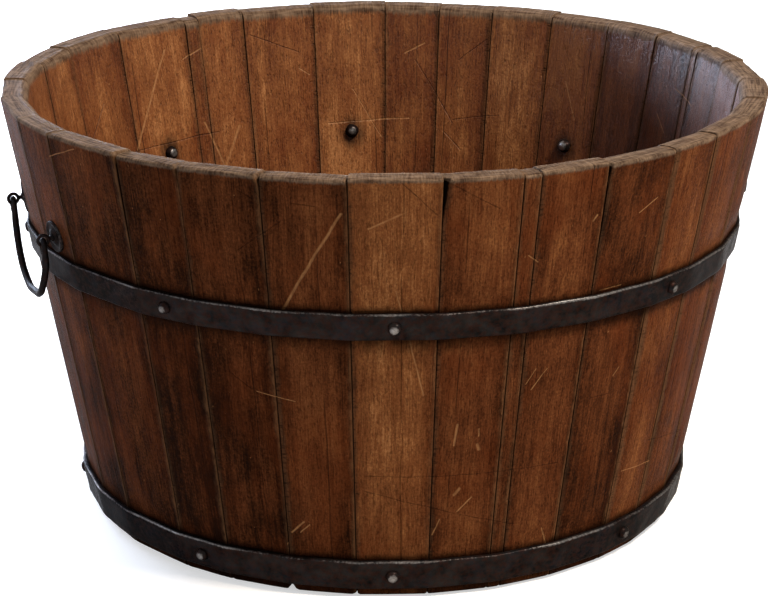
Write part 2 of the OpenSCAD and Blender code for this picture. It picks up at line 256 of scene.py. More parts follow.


# %% [markdown]
# ## Stained oak
# The boards are oak, riven and planed, then stained and oiled dark. To the eye that gives long fine fibres with
# short dark pores, cloudy patches where the stain took more or less, and a soft gloss from oil and handling.
# Handling also rubs the stain off the long edges and the rim, down to greyish, dusty wood, and every knock leaves
# a pale scratch or a dark cut. On the long edges this dust is painted lighter where the edge faces the lamp, a
# painted highlight, and darker on the other side, painted shade. The pattern could be one picture wrapped round
# the tub, but then the grain would not follow each tapered board. So each point carries its own place in its
# board (across, through and along, in metres), and the patterns are drawn in that. A pattern of d millimetres has
# a scale of 1000 / d.

# %% Scratches, as bearing in degrees and height in mm
PALE_OUTSIDE = [  # from, to, width in mm
    ((246.1, 312), (237.1, 235), 2.1), ((249.7, 301), (254.1, 312), 1.5), ((253.5, 253), (257.8, 170), 1.2),
    ((275.0, 167), (277.3, 183), 1.0), ((274.0, 172), (275.4, 184), 0.8), ((264.1, 72), (266.4, 83), 1.3),
    ((263.4, 86), (264.2, 91), 2.6), ((260.0, 53), (261.1, 66), 1.2), ((280.3, 46), (281.9, 30), 1.4),
    ((290.0, 294), (293.2, 303), 1.0), ((297.2, 76), (306.0, 72), 0.9), ((267.1, 123), (266.8, 127), 2.6),
    ((262.9, 128), (263.3, 145), 1.8), ((266.9, 134), (266.8, 140), 1.2), ((235.9, 52), (238.2, 62), 1.7),
    ((237.5, 53), (239.2, 60), 1.2), ((232.0, 168), (238.1, 163), 0.9), ((197.0, 320), (203.9, 333), 0.9),
    ((272.2, 275), (273.8, 269), 0.9), ((281.9, 295), (282.5, 299), 1.6), ((285.1, 238), (289.3, 238), 1.1),
    ((290.6, 164), (291.6, 170), 1.0),
]
PALE_INSIDE = [
    ((115.5, 316), (125.4, 238), 2.2), ((82.6, 236), (66.8, 240), 1.4), ((67.7, 297), (64.1, 306), 1.5),
    ((77.8, 266), (72.2, 223), 0.9), ((35.5, 284), (32.5, 253), 0.9), ((108.2, 248), (104.7, 206), 2.0),
    ((104.6, 209), (100.9, 241), 2.6), ((111.4, 305), (107.2, 312), 1.4), ((8.0, 300), (2.0, 292), 1.2),
    ((12.0, 275), (9.0, 262), 1.0), ((88.0, 286), (86.0, 280), 1.2),
]
DARK_OUTSIDE = [
    ((248.8, 104), (259.5, 103), 0.9), ((259.5, 103), (281.7, 101), 0.9), ((248.3, 92), (259.8, 76), 0.9),
    ((259.8, 76), (274.3, 55), 0.9), ((232.2, 325), (234.1, 320), 1.0), ((254.2, 335), (258.9, 311), 0.9),
    ((261.1, 332), (267.4, 313), 1.1), ((239.4, 319), (242.6, 317), 0.9), ((231.4, 280), (237.9, 305), 0.9),
    ((230.5, 237), (254.0, 237), 1.0), ((228.2, 180), (232.7, 165), 1.0), ((286.0, 150), (292.0, 150), 0.9),
    ((234.3, 328), (235.3, 319), 0.8), ((303.9, 93), (318.4, 80), 0.9), ((300.0, 140), (312.0, 152), 0.9),
]
DARK_INSIDE = [
    ((65.8, 291), (58.1, 237), 0.9), ((58.1, 240), (48.7, 247), 0.9), ((57.4, 293), (52.3, 312), 0.9),
    ((59.7, 229), (56.3, 214), 0.9), ((127.1, 237), (105.4, 238), 1.1), ((133.0, 285), (143.0, 238), 0.9),
    ((97.0, 318), (88.0, 300), 1.0),
]
UNROLLED_R = 0.27  # one radius for all, so that bearings turn into lengths
print(len(PALE_OUTSIDE + PALE_INSIDE), "pale scratches and", len(DARK_OUTSIDE + DARK_INSIDE), "dark cuts")


# %% Scratches as nodes
def scratches(tree, skin_place, lists):
    deepest = None
    for depth, rows in lists:
        for start, end, width in rows:
            a, b = (Vector((math.radians(t) * UNROLLED_R, h * MM, depth)) for t, h in (start, end))
            run = b - a
            off = add(tree, "ShaderNodeVectorMath", {0: skin_place, 1: a}, operation="SUBTRACT")
            part = add(tree, "ShaderNodeVectorMath", {0: off, 1: run / run.length_squared}, operation="DOT_PRODUCT")
            part = add(tree, "ShaderNodeClamp", {"Value": part.outputs["Value"]})
            foot = add(tree, "ShaderNodeVectorMath", {0: run, "Scale": part}, operation="SCALE")
            far = add(tree, "ShaderNodeVectorMath", {0: off, 1: foot}, operation="DISTANCE")
            line = add(tree, "ShaderNodeMapRange", {
                "Value": far.outputs["Value"], "From Min": width * MM * 0.62, "From Max": width * MM * 0.22})
            deepest = line if deepest is None else add(
                tree, "ShaderNodeMath", {0: deepest, 1: line}, operation="MAXIMUM")
    return deepest


# %% The finish
oak, tree = fresh_finish("stained_oiled_oak")
grain = add(tree, "ShaderNodeAttribute", attribute_name="grain").outputs["Vector"]
on_skin = add(tree, "ShaderNodeAttribute", attribute_name="unrolled").outputs["Vector"]
edge = add(tree, "ShaderNodeAttribute", attribute_name="edge").outputs["Fac"]
rim = add(tree, "ShaderNodeAttribute", attribute_name="rim").outputs["Fac"]
tone = add(tree, "ShaderNodeAttribute", attribute_name="tone").outputs["Fac"]
split = add(tree, "ShaderNodeAttribute", attribute_name="split").outputs["Fac"]
stain = add(tree, "ShaderNodeAttribute", attribute_name="stain").outputs["Fac"]
right = add(tree, "ShaderNodeAttribute", attribute_name="right").outputs["Fac"]
dusty = add(tree, "ShaderNodeAttribute", attribute_name="dusty").outputs["Fac"]


def pattern(tree, place, scale, detail=2, roughness=0.55, shift=(0, 0, 0)):
    place = add(tree, "ShaderNodeMapping", {"Vector": place, "Scale": scale, "Location": shift})
    return add(tree, "ShaderNodeTexNoise", {"Vector": place, "Scale": 1, "Detail": detail, "Roughness": roughness})


def sum_of(tree, start, *terms):
    total = start
    for value, factor in terms:
        total = add(tree, "ShaderNodeMath", {0: value, 1: factor, 2: total}, operation="MULTIPLY_ADD")
    return total


def mixed(tree, factor, under, over):
    return add(tree, "ShaderNodeMix", {"Factor": factor, "A": under, "B": over}, data_type="RGBA")


def ramp_to(tree, value, start, end, low=0.0, high=1.0):
    return add(tree, "ShaderNodeMapRange", {
        "Value": value, "From Min": start, "From Max": end, "To Min": low, "To Max": high})


# Grain lines wander by 3 mm over about 120 mm
sway = sum_of(tree, -0.0035, (pattern(tree, grain, (14, 14, 8)), 0.007))
sway = add(tree, "ShaderNodeCombineXYZ", {"X": sway})
bent = add(tree, "ShaderNodeVectorMath", {0: grain, 1: sway}, operation="ADD")

# Figure 6 mm wide, fibres 1.1 mm wide (the real ones are finer, but would not show), pores 0.9 by 5 mm
figure = pattern(tree, bent, (170, 170, 9), 4, 0.62)
fibre = pattern(tree, bent, (900, 900, 30), 3, 0.7)
pore = ramp_to(tree, pattern(tree, bent, (1050, 1050, 190), 2, 0.6), 0.56, 0.68)
pit = pattern(tree, grain, (640, 640, 520), 2, 0.7, (1, 4, 2))

# Clouds of stain, 60 by 100 mm, blotches of 12 by 22 mm in them, and warmer patches; the margin makes each
# board darker within 14 mm of its long edges
cloud = pattern(tree, grain, (17, 17, 10), 3, 0.6)
blotch = pattern(tree, bent, (85, 85, 42), 4, 0.66, (5, 2, 9))
warm = pattern(tree, grain, (34, 34, 16), 3, 0.6, (3, 7, 1))
margin = ramp_to(tree, edge, 14, 1)

level = sum_of(tree, -1.26, (tone, 0.62), (cloud, 0.66), (blotch, 0.5), (figure, 0.5), (fibre, 0.62), (pit, 0.6),
               (margin, -0.15))
dye = add(tree, "ShaderNodeValToRGB", {"Fac": level})
stops = dye.color_ramp.elements
stops[0].position, stops[0].color = 0.0, linear("#1b0d07")
stops[1].position, stops[1].color = 1.0, linear("#a27046")
for at, code in ((0.16, "#331a0d"), (0.45, "#5a321c"), (0.75, "#7b4d2c")):
    stops.new(at).color = linear(code)
reddish = ramp_to(tree, warm, 0.45, 0.7, 0, 0.36)
wood = mixed(tree, reddish, dye, linear("#5c2a12"))
wood = mixed(tree, sum_of(tree, 0.0, (pore, 0.4)), wood, linear("#1c0b05"))

# A drying split: a dark hairline that wanders and fades along the board
off_split = add(tree, "ShaderNodeSeparateXYZ", {"Vector": bent}).outputs["X"]
off_split = add(tree, "ShaderNodeMath", {0: off_split, 1: split}, operation="SUBTRACT")
off_split = add(tree, "ShaderNodeMath", {0: off_split}, operation="ABSOLUTE")
crack = ramp_to(tree, off_split, 0.0007, 0.0002)
crack = add(tree, "ShaderNodeMath", {0: crack, 1: ramp_to(tree, warm, 0.42, 0.56, 0, 0.6)}, operation="MULTIPLY")
wood = mixed(tree, crack, wood, linear("#1e0f08"))

# Dusty worn bands: 2 to 6 mm along the joints, the whole of the rim, with ragged borders and small cuts across.
# Along the joints the dust comes in two copies: lighter, a painted highlight, on the right-hand edge of each
# stave, which faces the lamp, and darker and stronger, painted shade, on its left-hand edge.
ragged = pattern(tree, grain, (230, 230, 130), 3, 0.65)
slow = pattern(tree, grain, (30, 30, 12), 2, 0.5, (8, 3, 6))
ticks = ramp_to(tree, pattern(tree, grain, (150, 150, 560), 2, 0.5), 0.57, 0.66)
rim_streak = pattern(tree, grain, (620, 70, 60), 2, 0.6)
rim_plane = pattern(tree, grain, (45, 620, 60), 3, 0.6)
edge_far = sum_of(tree, -6.3, (edge, 1.0), (ragged, 7.0), (slow, 5.6), (dusty, -2.6))
edge_dust = ramp_to(tree, edge_far, 4.0, 0.8)
rim_far = sum_of(tree, -4.5, (rim, 1.0), (rim_streak, 9.0))
rim_dust = ramp_to(tree, rim_far, 8.5, 5.0)
edge_share = sum_of(tree, ramp_to(tree, right, 0, 1, 0.54, 0.3), (dusty, 0.2))
edge_part = add(tree, "ShaderNodeMath", {0: edge_dust, 1: edge_share}, operation="MULTIPLY")
rim_part = sum_of(tree, 0.0, (rim_dust, 0.92))
fibrous = ramp_to(tree, fibre, 0.3, 0.7)
shaded_dust = mixed(tree, fibrous, linear("#2a1c13"), linear("#563e2b"))
lit_dust = mixed(tree, fibrous, linear("#4e3624"), linear("#75543a"))
# Share of the lit copy of the dust: 1 on the right-hand edge, none on the left, 0.7 on narrow staves, plus half on the
# left edges of the staves in DUSTY_LEFT
lit_share = sum_of(tree, right, (dusty, 0.5))
wood = mixed(tree, edge_part, wood, mixed(tree, lit_share, shaded_dust, lit_dust))
rim_tone = ramp_to(tree, sum_of(tree, -0.5, (rim_streak, 0.6), (rim_plane, 1.0), (blotch, 0.4)), 0.3, 0.7)
wood = mixed(tree, rim_part, wood, mixed(tree, rim_tone, linear("#3c2f26"), linear("#7c6856")))
# Small dark cuts, mostly on the shaded side, where they deepen the painted shade
ticks = add(tree, "ShaderNodeMath", {0: ticks, 1: edge_dust}, operation="MULTIPLY")
ticks = add(tree, "ShaderNodeMath", {0: ticks, 1: ramp_to(tree, lit_share, 0, 1, 1, 0.15)}, operation="MULTIPLY")
wood = mixed(tree, sum_of(tree, 0.0, (ticks, 0.6)), wood, linear("#1a100a"))

# Bare wood on the very edge, most of it on the right-hand edge that faces the lamp, where it is also a painted
# highlight; and dirt in the joint behind it
bare_and_lit_edge = ramp_to(tree, edge_far, 1.6, 0.4, 0, 0.24)
bare_and_lit_edge = add(tree, "ShaderNodeMath", {0: bare_and_lit_edge, 1: ramp_to(tree, right, 0, 1, 0.1, 1)}, operation="MULTIPLY")
wood = mixed(tree, bare_and_lit_edge, wood, linear("#7d5a3c"))
joint = ramp_to(tree, edge, 0.65, 0.05)
wood = mixed(tree, joint, wood, linear("#160c07"))

# Scratches and cuts, slightly shaky
shake = add(tree, "ShaderNodeTexNoise", {"Vector": on_skin, "Scale": 60, "Detail": 2})
shake = add(tree, "ShaderNodeVectorMath", {
    0: shake.outputs["Color"], 1: (0.0015, 0.0015, 0), 2: on_skin}, operation="MULTIPLY_ADD")
broken = ramp_to(tree, ragged, 0.35, 0.6, 0.45)
pale = scratches(tree, shake, ((0, PALE_OUTSIDE), (0.19, PALE_INSIDE)))
dark = scratches(tree, shake, ((0, DARK_OUTSIDE), (0.19, DARK_INSIDE)))
pale = add(tree, "ShaderNodeMath", {0: pale, 1: broken}, operation="MULTIPLY")
dark = add(tree, "ShaderNodeMath", {0: dark, 1: broken}, operation="MULTIPLY")

# Small pale nicks, a few mm long and far apart
nick = ramp_to(tree, pattern(tree, on_skin, (360, 210, 50), 1), 0.77, 0.80, 0, 0.55)
light_marks = add(tree, "ShaderNodeMath", {0: pale, 1: nick}, operation="MAXIMUM")
wood = mixed(tree, sum_of(tree, 0.0, (light_marks, 0.72)), wood, linear("#a0744c"))
wood = mixed(tree, sum_of(tree, 0.0, (dark, 0.48)), wood, linear("#210f08"))

# Black iron stain and dirt beside the hoops, with painted shadow under them, and iron stain round the rivets
# inside
grime_and_shadow = ramp_to(tree, sum_of(tree, -0.6, (stain, 1.0), (blotch, 1.2)), 0.3, 0.95, 0, 0.85)
wood = mixed(tree, grime_and_shadow, wood, linear("#150a05"))

# Dusty wood is dull, oiled wood has a soft gloss that the clouds break up
dull = add(tree, "ShaderNodeMath", {0: edge_part, 1: rim_part}, operation="MAXIMUM")
inside = add(tree, "ShaderNodeSeparateXYZ", {"Vector": on_skin}).outputs["Z"]
inside = ramp_to(tree, inside, 0, 0.19)
rough = sum_of(tree, ramp_to(tree, blotch, 0.3, 0.7, 0.36, 0.50), (dull, 0.25), (inside, -0.08))

# Relief: fibres and pores some tenths of a mm deep, cuts and scratches deeper, ragged edges deepest
gouged = add(tree, "ShaderNodeMath", {0: edge_dust, 1: ragged}, operation="MULTIPLY")
relief = sum_of(tree, 0.0, (fibre, 0.6), (figure, 0.35), (blotch, 0.7), (pit, 0.5), (pore, -0.45), (crack, -0.8),
                (dark, -0.7), (light_marks, -0.5), (gouged, 2.2), (ticks, -0.8), (rim_streak, 0.3))
bump = add(tree, "ShaderNodeBump", {"Strength": 1.0, "Distance": 0.0007, "Height": relief})

# Weathered fibres outside swallow the gloss; the inside keeps its oil
gloss_inside = ramp_to(tree, dull, 0, 0.6, 0.14, 0.01)
gloss = add(tree, "ShaderNodeMapRange", {"Value": inside, "To Min": 0.003, "To Max": gloss_inside})
coat = add(tree, "ShaderNodeBsdfPrincipled", {
    "Base Color": wood, "Roughness": rough, "IOR": 1.47, "Specular IOR Level": gloss, "Normal": bump})
add(tree, "ShaderNodeOutputMaterial", {"Surface": coat})
print("oak finish with", len(tree.nodes), "nodes")

# %% [markdown]
# ## Blackened iron
# Hoops and handles are forged iron. The fire leaves a black scale of iron oxide, which rusts brown where damp
# gets under it and wears to grey metal on the edges. It could be plain black paint, but then the bright upper edges
# of the hoops would be missing. Scale is a dull metal here, rust is no metal at all, and the worn places get
# the colour of bare iron. Each point carries how much it is worn. The same light colour is also a painted
# highlight on the upper edges of the hoops, the tops of the rivet heads and the rims of the rosettes.

# %% Iron finish
iron, tree = fresh_finish("forged_black_iron")
inside_piece = add(tree, "ShaderNodeTexCoord").outputs["Object"]
worn = add(tree, "ShaderNodeAttribute", attribute_name="worn").outputs["Fac"]
scale_patch = pattern(tree, inside_piece, (90, 90, 90), 4, 0.62)
speck = pattern(tree, inside_piece, (520, 520, 520), 2, 0.6)
rust = pattern(tree, inside_piece, (230, 230, 300), 3, 0.65, (4, 1, 2))
blue = pattern(tree, inside_piece, (60, 60, 60), 3, 0.6, (9, 3, 5))
worn_patch = pattern(tree, inside_piece, (13, 13, 13), 3, 0.6, (2, 8, 5))
base = mixed(tree, ramp_to(tree, scale_patch, 0.3, 0.7), linear("#0c0b0b"), linear("#262322"))
base = mixed(tree, ramp_to(tree, blue, 0.5, 0.66, 0, 0.4), base, linear("#1c2026"))
rust_part = ramp_to(tree, sum_of(tree, rust, (speck, 0.35)), 0.58, 0.84, 0, 0.4)
base = mixed(tree, rust_part, base, linear("#361c13"))
# Light bare-iron colour where the marks are high: rubbed iron, and on hoop edges, rivet tops and rosette rims also a
# painted highlight
bare_and_glint = sum_of(tree, -0.9, (worn, 0.8), (worn_patch, 1.2), (speck, 0.6))
bare_and_glint = ramp_to(tree, bare_and_glint, 0.66, 1.1, 0, 0.7)
base = mixed(tree, bare_and_glint, base, linear("#8b8886"))
metal = sum_of(tree, 0.55, (bare_and_glint, 0.5), (rust_part, -0.5))
rough = sum_of(tree, 0.22, (speck, 0.12), (rust_part, 0.3), (bare_and_glint, -0.12), (scale_patch, 0.12))
relief = sum_of(tree, 0.0, (scale_patch, 0.8), (speck, 0.35), (rust_part, 0.4))
bump = add(tree, "ShaderNodeBump", {"Strength": 0.5, "Distance": 0.0005, "Height": relief})
coat = add(tree, "ShaderNodeBsdfPrincipled", {
    "Base Color": base, "Metallic": metal, "Roughness": rough, "Specular Tint": linear("#5c5c5c"),
    "Specular IOR Level": 0.015, "Normal": bump})
add(tree, "ShaderNodeOutputMaterial", {"Surface": coat})
print("iron finish with", len(tree.nodes), "nodes")

# %% [markdown]
# ## Shaping a stave
# A stave is a flat board. Its long edges are planed to the radial joint and have lost their sharpness, its
# top is rounded over on both sides, and the corners of its top and foot are chipped. It could be a box with a
# bevel modifier, but every edge of it is worn differently. So each level of the board gets its own section:
# outer face, worn corner, joint, worn corner, inner face and so on round. The middles of two joints meet, so no
# light comes through the wall.

# %% A section through a board
TOP_ROUND_OUT, TOP_ROUND_IN = 2.4, 5.2
# Broken corners, as {(stave, side): (width, height)} in mm; side -1 is left and 1 is right, seen from outside
FOOT_CHIPS = {(2, 1): (1.6, 2.4), (3, -1): (1.6, 2.4), (4, 1): (1.0, 1.4), (5, -1): (0.8, 1.4), (5, 1): (4.2, 6.4),
              (6, -1): (3.4, 6.4), (6, 1): (2.8, 3.0), (7, -1): (1.2, 2.6), (7, 1): (0.9, 1.7), (8, -1): (0.8, 1.5),
              (10, 1): (1.0, 1.5), (11, 1): (1.3, 2.0), (12, -1): (1.0, 1.8), (18, 1): (2.0, 3.0), (24, -1): (2.6, 3.4)}
RIM_CHIPS = {(8, -1): (4.6, 34), (11, -1): (2.6, 15), (3, 1): (1.5, 9), (4, 1): (2.6, 10), (5, 1): (2.4, 9),
             (6, 1): (1.2, 6), (21, 1): (1.2, 10)}
CROWN = 1.8  # how far the middle of a face stands out, mm
# Share of it: little beside the handles, and more at the right
CROWN_SHARE = {33: 0.0, 1: 0.3, 2: 0.5, 14: 1.8, 15: 1.5, 16: 0.2, 17: 0.2, 18: 0.2, 19: 0.2}
# On the staves in DUSTY_LEFT the left edge gets half of the painted lit colour of the dust as well
DUSTY_LEFT = (12, 13, 14, 15, 16)  # staves whose left edge is dusty too
CORNER_TURNS = np.linspace(0, math.pi / 2, 5)


def face_radius(index, height):
    return (FOOT_R + SLOPE * height) * math.cos(half_angles[index])


def worn_corner(x, inward, side, half, radius, lost):
    """Points from a face round one worn corner into the joint, each with its distance from the corner"""
    corner = np.array([x, side * (x * math.tan(half) - lost)])
    face_way = np.array([0, -side])
    joint_way = np.array([math.cos(half), side * math.sin(half)]) * inward
    return [(*(corner + radius * ((1 - math.sin(a)) * face_way + (1 - math.cos(a)) * joint_way)),
             radius * (1 - math.sin(a))) for a in CORNER_TURNS]


def board_section(out, back, half, wear, columns, wave):
    """wear holds for each side its rounding, the width lost, that of the joint's middle and that of a chip outside"""
    spread = np.sin(np.pi / 2 * (2 * np.arange(1, columns) / columns - 1))
    points = []
    for x, inward, order in ((out, -1, (-1, 1)), (back, 1, (1, -1))):
        lost = {s: wear[s][1] + (wear[s][3] if inward < 0 else 0) for s in (-1, 1)}
        bared = [0.8 if inward < 0 and wear[s][3] > 0.3 else 0.0 for s in order]
        first = worn_corner(x, inward, order[0], half, wear[order[0]][0], lost[order[0]])[::-1]
        last = worn_corner(x, inward, order[1], half, wear[order[1]][0], lost[order[1]])
        first = [(a, b, max(e, bared[0])) for a, b, e in first]
        last = [(a, b, max(e, bared[1])) for a, b, e in last]
        y0, y1 = first[-1][1], last[0][1]
        ends = [x * math.tan(half) - lost[s] for s in (-1, 1)]
        points += first
        for u in spread:
            y = y0 + (y1 - y0) * (u + 1) / 2
            points.append((x - inward * wave(y, inward), y, ends[0] + y if y < 0 else ends[1] - y))
        points += last
        near, far = last[-1][0], worn_corner(back + out - x, -inward, order[1], half, *wear[order[1]][:2])[-1][0]
        for part in (0.3, 0.7):
            middle = near + (far - near) * part
            chipped = inward < 0 and part < 0.5 and wear[order[1]][3] > 0.3
            points.append((middle, order[1] * (middle * math.tan(half) - wear[order[1]][2]), 0.9 if chipped else -4.0))
    return np.array(points)


# %% Staves
def stave_rings(index):
    width, drop, lean_out, left_wear, right_wear = STAVES[index][:5]
    half, top, seed = half_angles[index], HEIGHT - drop, 10.0 * (index + 1)
    columns = max(5, round(width / 3.6))
    levels = [0, 0.6, 1.8, 3.2, 4.8, 6.5, 9] + list(np.linspace(13, top - 9, round(top / 4.3)))
    levels += sorted({top - r * (1 - math.sin(a)) for r in (TOP_ROUND_OUT, TOP_ROUND_IN)
                      for a in np.linspace(0, math.pi / 2, 7)}) + [top]
    rings, edges, rims = [], [], []
    for count, height in enumerate(levels):
        cap = count == len(levels) - 1
        hip = [math.sqrt(max(0.0, 1 - min(1, max(0, (height - top + r) / r)) ** 2)) for r in (TOP_ROUND_OUT, TOP_ROUND_IN)]
        shift = (lean_out + 0.3) * ease((height - 240) / (top - 240))
        out = face_radius(index, height) + shift - TOP_ROUND_OUT * (1 - hip[0]) - max(0, 1.8 - height)
        back = face_radius(index, height) + shift - THICK / math.cos(math.atan(SLOPE)) + TOP_ROUND_IN * (1 - hip[1])
        if cap:
            middle = (out + back) / 2
            out, back = middle + (out - middle) * 0.15, middle + (back - middle) * 0.15
        wear = {}
        for side, top_wear in ((-1, left_wear), (1, right_wear)):
            chip, chip_high = FOOT_CHIPS.get((index + 1, side), (0.4, 1.2))
            notch = chip * max(0, 1 - height / chip_high)
            gap, gap_long = RIM_CHIPS.get((index + 1, side), (0, 1))
            gap *= max(0, 1 - (top - height) / gap_long) * (1 + 0.3 * ripple(height / 4, seed))
            worn_top = top_wear * math.exp(-(top - height) / (5 + 1.6 * top_wear))
            radius = 0.85 + 0.4 * ripple(height / 23, seed + 31 * side) + 3.0 * max(
                0, ripple(height / 8, seed + 31 * side + 9) - 0.36) + 0.55 * worn_top + 0.6 * math.exp(-height / 3)
            radius = min(max(radius, 0.5), (out - back) * 0.4, out * math.tan(half) * 0.6)
            wear[side] = (radius, 0.08 + 0.2 * max(0, worn_top - 0.6) + notch, notch - 0.12, gap)
        off_hoops = min(abs(height - low - wide / 2) - wide / 2 for low, wide in (MID_HOOP, LOW_HOOP))
        crown = CROWN * CROWN_SHARE.get(index + 1, 1) * ease(off_hoops / 25) * min(1, width / 60)

        def wave(y, face):
            if cap:
                return 0.0
            bulge = crown * (1 - (y / (out * math.tan(half))) ** 2) if face < 0 else 0.0
            return bulge + 0.20 * ripple(y / 16, height / 55, seed + 50 * face) + 0.08 * ripple(
                y / 5, height / 24, seed + 50 * face + 5) - 0.1

        section = board_section(out, back, half, wear, columns, wave)
        uneven = 0.4 * ripple(seed, 2.5) / 25
        lift = [(0.3 * ripple(y / 8, seed, 2) + uneven * y) * ease((height - top + 12) / 12) for y in section[:, 1]]
        rings.append(np.column_stack([section[:, :2], height + np.array(lift) + (0.25 if cap else 0)]))
        edges.append(np.maximum(section[:, 2], 0.8) if height > top - 2.5 else section[:, 2])
        outside = section[:, 0] > (out + back) / 2
        rims.append((top - height) * np.where(outside, 2.2, 1.0))
    return np.array(rings), np.array(edges), np.array(rims)


for index, row in enumerate(STAVES):
    local, edges, rims = stave_rings(index)
    turn = bearings[index]
    flat, faces = skin(local)
    placed = np.column_stack([
        flat[:, 0] * math.cos(turn) - flat[:, 1] * math.sin(turn),
        flat[:, 0] * math.sin(turn) + flat[:, 1] * math.cos(turn), flat[:, 2]])
    depth = (FOOT_R + SLOPE * flat[:, 2]) * math.cos(half_angles[index]) - flat[:, 0]
    angle = np.degrees(turn + np.arctan2(flat[:, 1], flat[:, 0]))
    angle = np.where(angle > 330, angle - 360, angle)
    unrolled = np.column_stack([np.radians(angle) * UNROLLED_R, flat[:, 2] * MM, np.where(depth < 9.5, 0, 0.19)])
    grain_place = np.column_stack([flat[:, 1] + 400 * index, 90 * index - depth, flat[:, 2]]) * MM
    split_at = 400 * index + (row[0] * row[6] if row[6] is not None else -200)
    stained = np.zeros(len(flat))
    # Outside: darker 8 mm above each hoop and 15 or 20 mm below it, iron stain and dirt, and below the hoop painted
    # shadow too
    for (low, wide), below in ((MID_HOOP, 15), (LOW_HOOP, 20)):
        off = flat[:, 2] - low - wide / 2
        beside = np.where(off > 0, (off - wide / 2) / 8, (-off - wide / 2) / below)
        stained = np.maximum(stained, np.where(depth < 9.5, 1 - np.clip(beside, 0, 1), 0))
    if index + 1 in RIVETED:
        for low, wide in (MID_HOOP, LOW_HOOP):
            off = np.hypot(flat[:, 1], (flat[:, 2] - low - wide / 2 - 2) * 0.8)
            stained = np.maximum(stained, np.where(depth > 9.5, 0.9 - np.clip((off - 6) / 14, 0, 0.9), 0))
    piece(f"stave_{index + 1}_board", [(placed, faces)], oak, "stained_wood", "tub", [f"stave_{index + 1}"],
          grain=grain_place, unrolled=unrolled, edge=edges.ravel(), rim=rims.ravel(), stain=stained,
          # Outside, each board gets darker towards the bottom; inside, its tone is raised by a quarter
          tone=np.where(depth < 9.5, row[5] - 0.13 * (1 - flat[:, 2] / HEIGHT), row[5] + 0.25),
          # The right-hand half of each board (0.7 all over on narrow boards) is marked as the side that the lamp lights
          split=np.full(len(flat), split_at * MM), right=np.full(len(flat), 0.7) if row[0] < 20 else (flat[:, 1] > 0).astype(float),
          dusty=((flat[:, 1] < 0) & (index + 1 in DUSTY_LEFT)).astype(float))

# %% [markdown]
# ## Bottom boards
# The bottom is five boards, dowelled edge to edge and cut to a disc. Their edge is planed to a tongue, which sits
# in a groove round the staves. The boards could be cut from one disc with a boolean tool. Here each one is skinned
# across its width, so that its joint edges can be eased and the grain runs along it.

# %% Bottom boards
BOARDS = [(94, 0.46), (88, 0.6), (96, 0.38), (90, 0.52), (91, 0.42)]  # width in proportion, tone
DISC_R, BOTTOM_Z = 228.0, 38.0
board_cuts = DISC_R * (2 * np.concatenate([[0], np.cumsum([b[0] for b in BOARDS])]) / sum(b[0] for b in BOARDS) - 1)
LEVEL_R = np.concatenate([np.linspace(0, 205, 34)[1:], [210, 214, 215.5, 217, 219, 220.5, 224, 227, 228]])


def half_thickness(radius):
    return float(np.interp(radius, [0, 214.5, 220, 240], [8, 8, 3, 3]))


for number, (_, board_tone) in enumerate(BOARDS):
    low, high = board_cuts[number] + 0.1, board_cuts[number + 1] - 0.1
    across = (low + high) / 2 + (high - low) / 2 * np.sin(np.linspace(-1, 1, 27) * math.pi / 2) * 0.9995
    rings, edges = [], []
    for y in across:
        outer_end = DISC_R - 0.1 if abs(y) > DISC_R - 0.1 else abs(y)
        reach = [math.sqrt(max((r * r - y * y), (0.012 * k + 0.3) ** 2)) for k, r in enumerate(LEVEL_R)]
        xs = np.concatenate([-np.array(reach)[::-1], [0], reach])
        joint_far = min(y - low if number else 99, high - y if number < 4 else 99)
        eased = 1.1 * (1 - math.sqrt(max(0, 1 - max(0, 1 - joint_far / 1.1) ** 2)))
        top_z = [BOTTOM_Z + half_thickness(math.hypot(x, y)) - eased
                 + 0.25 * ripple(x / 60, y / 14, 70 + number) - 0.15 for x in xs]
        low_z = [BOTTOM_Z - half_thickness(math.hypot(x, y)) + eased for x in xs]
        rings.append([(x, y, z) for x, z in zip(xs, top_z)] + [(x, y, z) for x, z in zip(xs[::-1], low_z[::-1])])
        edges.append(np.full(2 * len(xs), max(joint_far, 0.0)))
    flat, faces = skin(rings)
    grain_place = np.column_stack([flat[:, 1] + 20000 + 300 * number, flat[:, 2], flat[:, 0]]) * MM
    unrolled = np.column_stack([flat[:, 0] * MM, flat[:, 1] * MM + 2, np.full(len(flat), 5.0)])
    piece(f"bottom_board_{number + 1}_oak", [(flat, faces)], oak, "stained_wood", "tub", [f"bottom_board_{number + 1}"],
          grain=grain_place, unrolled=unrolled, edge=np.concatenate(edges), rim=np.full(len(flat), 90.0),
          tone=np.full(len(flat), board_tone), split=np.full(len(flat), -5.0), stain=np.zeros(len(flat)))
print("bottom boards cut at", np.round(board_cuts, 1))


# %% [markdown]
# ## Turned pieces
# Rivets, rosettes, dowels and the necks of the eyes are round about an axis. Each is a short list of radii and
# heights, turned about that axis. Forged ones are never quite round, so their radius wanders a little.

# %% Turning
def frame_on_stave(index, side, height):
    """Origin and the three directions (out, along, up) of a place on the outer face of a stave"""
    lean = math.atan(SLOPE * math.cos(half_angles[index]))
    turn = bearings[index]
    out = np.array([math.cos(lean) * math.cos(turn), math.cos(lean) * math.sin(turn), -math.sin(lean)])
    along = np.array([-math.sin(turn), math.cos(turn), 0])
    up = np.cross(out, along)
    foot = FOOT_R * math.cos(half_angles[index]) * np.array([math.cos(turn), math.sin(turn), 0])
    return foot + along * side + up * height, out, along, up


def turned(place, profile, count=28, uneven=0.0, seed=0.0):
    origin, axis, side, other = place
    rings = []
    for radius, level in profile:
        ring = []
        for k in range(count):
            a = 2 * math.pi * k / count
            r = radius * (1 + uneven * ripple(1.4 * math.cos(a), 1.4 * math.sin(a), seed + level / 6))
            ring.append(origin + axis * level + r * (math.cos(a) * side + math.sin(a) * other))
        rings.append(ring)
    return skin(rings)


